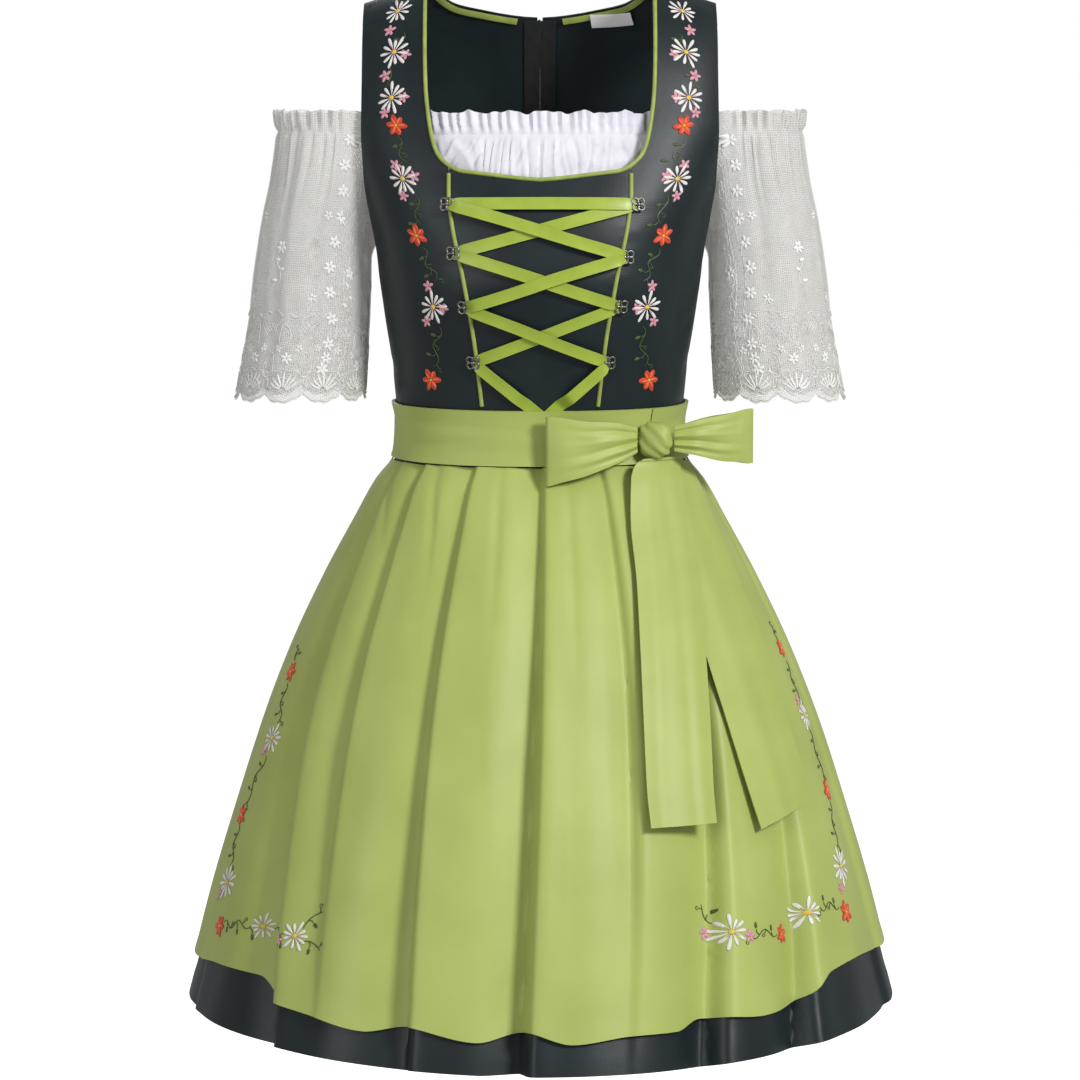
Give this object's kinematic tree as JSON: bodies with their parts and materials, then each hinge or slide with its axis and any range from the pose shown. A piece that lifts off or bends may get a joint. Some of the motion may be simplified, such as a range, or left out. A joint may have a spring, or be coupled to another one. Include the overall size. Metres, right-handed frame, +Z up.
{
  "type": "dirndl dress with apron and off-shoulder blouse",
  "caption": "Dark green sleeveless dirndl with laced bodice and pleated skirt, spring green apron tied in a bow, and white off-shoulder blouse with lace sleeves.",
  "frame": {"origin": "midway between the undersides of the two shoulder straps, where the wearer's shoulders hold the set up", "axes": "+Z up, along the wearer; the front faces -Y; +X to the viewer's right as seen from the front"},
  "size_m": [0.6055, 0.5489, 0.8665],
  "materials": {
    "dress_satin": "closely woven dark bottle green satin-weave cotton blend",
    "apron_satin": "smooth spring green satin-weave apron cloth",
    "piping_green": "spring green piping and overlocked edge",
    "lace_ribbon": "bright green satin ribbon",
    "blouse_cotton": "white gathered cotton",
    "sleeve_lace": "sheer white lace on net",
    "hook_metal": "antique nickel plated hooks",
    "zip_tape": "black woven zip tape",
    "zip_metal": "black zip chain, slider and pull",
    "label_satin": "blank white satin label"
  },
  "bodies": {
    "dress": {"apron_panel": "apron_satin", "apron_tie_from_left": "apron_satin", "apron_tie_from_right": "apron_satin", "apron_waistband": "apron_satin", "blouse_back": "blouse_cotton", "blouse_front": "blouse_cotton", "blouse_sleeve_left": "sleeve_lace", "blouse_sleeve_right": "sleeve_lace", "bodice_back_left": "dress_satin", "bodice_back_right": "dress_satin", "bodice_front_centre": "dress_satin", "bodice_front_left": "dress_satin", "bodice_front_right": "dress_satin", "bow_knot": "apron_satin", "bow_loop_left": "apron_satin", "bow_loop_right": "apron_satin", "bow_tail_back": "apron_satin", "bow_tail_front": "apron_satin", "lace_hook_L1": "hook_metal", "lace_hook_L2": "hook_metal", "lace_hook_L3": "hook_metal", "lace_hook_L4": "hook_metal", "lace_hook_R1": "hook_metal", "lace_hook_R2": "hook_metal", "lace_hook_R3": "hook_metal", "lace_hook_R4": "hook_metal", "lace_ribbon_1": "lace_ribbon", "lace_ribbon_2": "lace_ribbon", "lace_ribbon_3": "lace_ribbon", "lace_ribbon_4": "lace_ribbon", "lace_ribbon_5": "lace_ribbon", "lace_ribbon_6": "lace_ribbon", "lace_ribbon_7": "lace_ribbon", "lace_ribbon_8": "lace_ribbon", "lace_ribbon_9": "lace_ribbon", "neck_facing_back_left": "piping_green", "neck_facing_back_right": "piping_green", "neck_label": "label_satin", "neck_piping_back_left": "piping_green", "neck_piping_back_right": "piping_green", "neck_piping_front": "piping_green", "seam_piping_left": "piping_green", "seam_piping_right": "piping_green", "skirt_back_left": "dress_satin", "skirt_back_right": "dress_satin", "skirt_front": "dress_satin", "zip_chain": "zip_metal", "zip_slider": "zip_metal", "zip_tape_left": "zip_tape", "zip_tape_right": "zip_tape"},
    "zip_pull": {"zip_pull": "zip_metal"}
  },
  "joints": [
    {"name": "zip_pull_swing", "type": "hinge", "parent": "dress", "child": "zip_pull", "pos_m": [0, 0.0723, -0.03762], "axis": [1, 0, 0], "range_deg": [0, 150]}
  ]
}
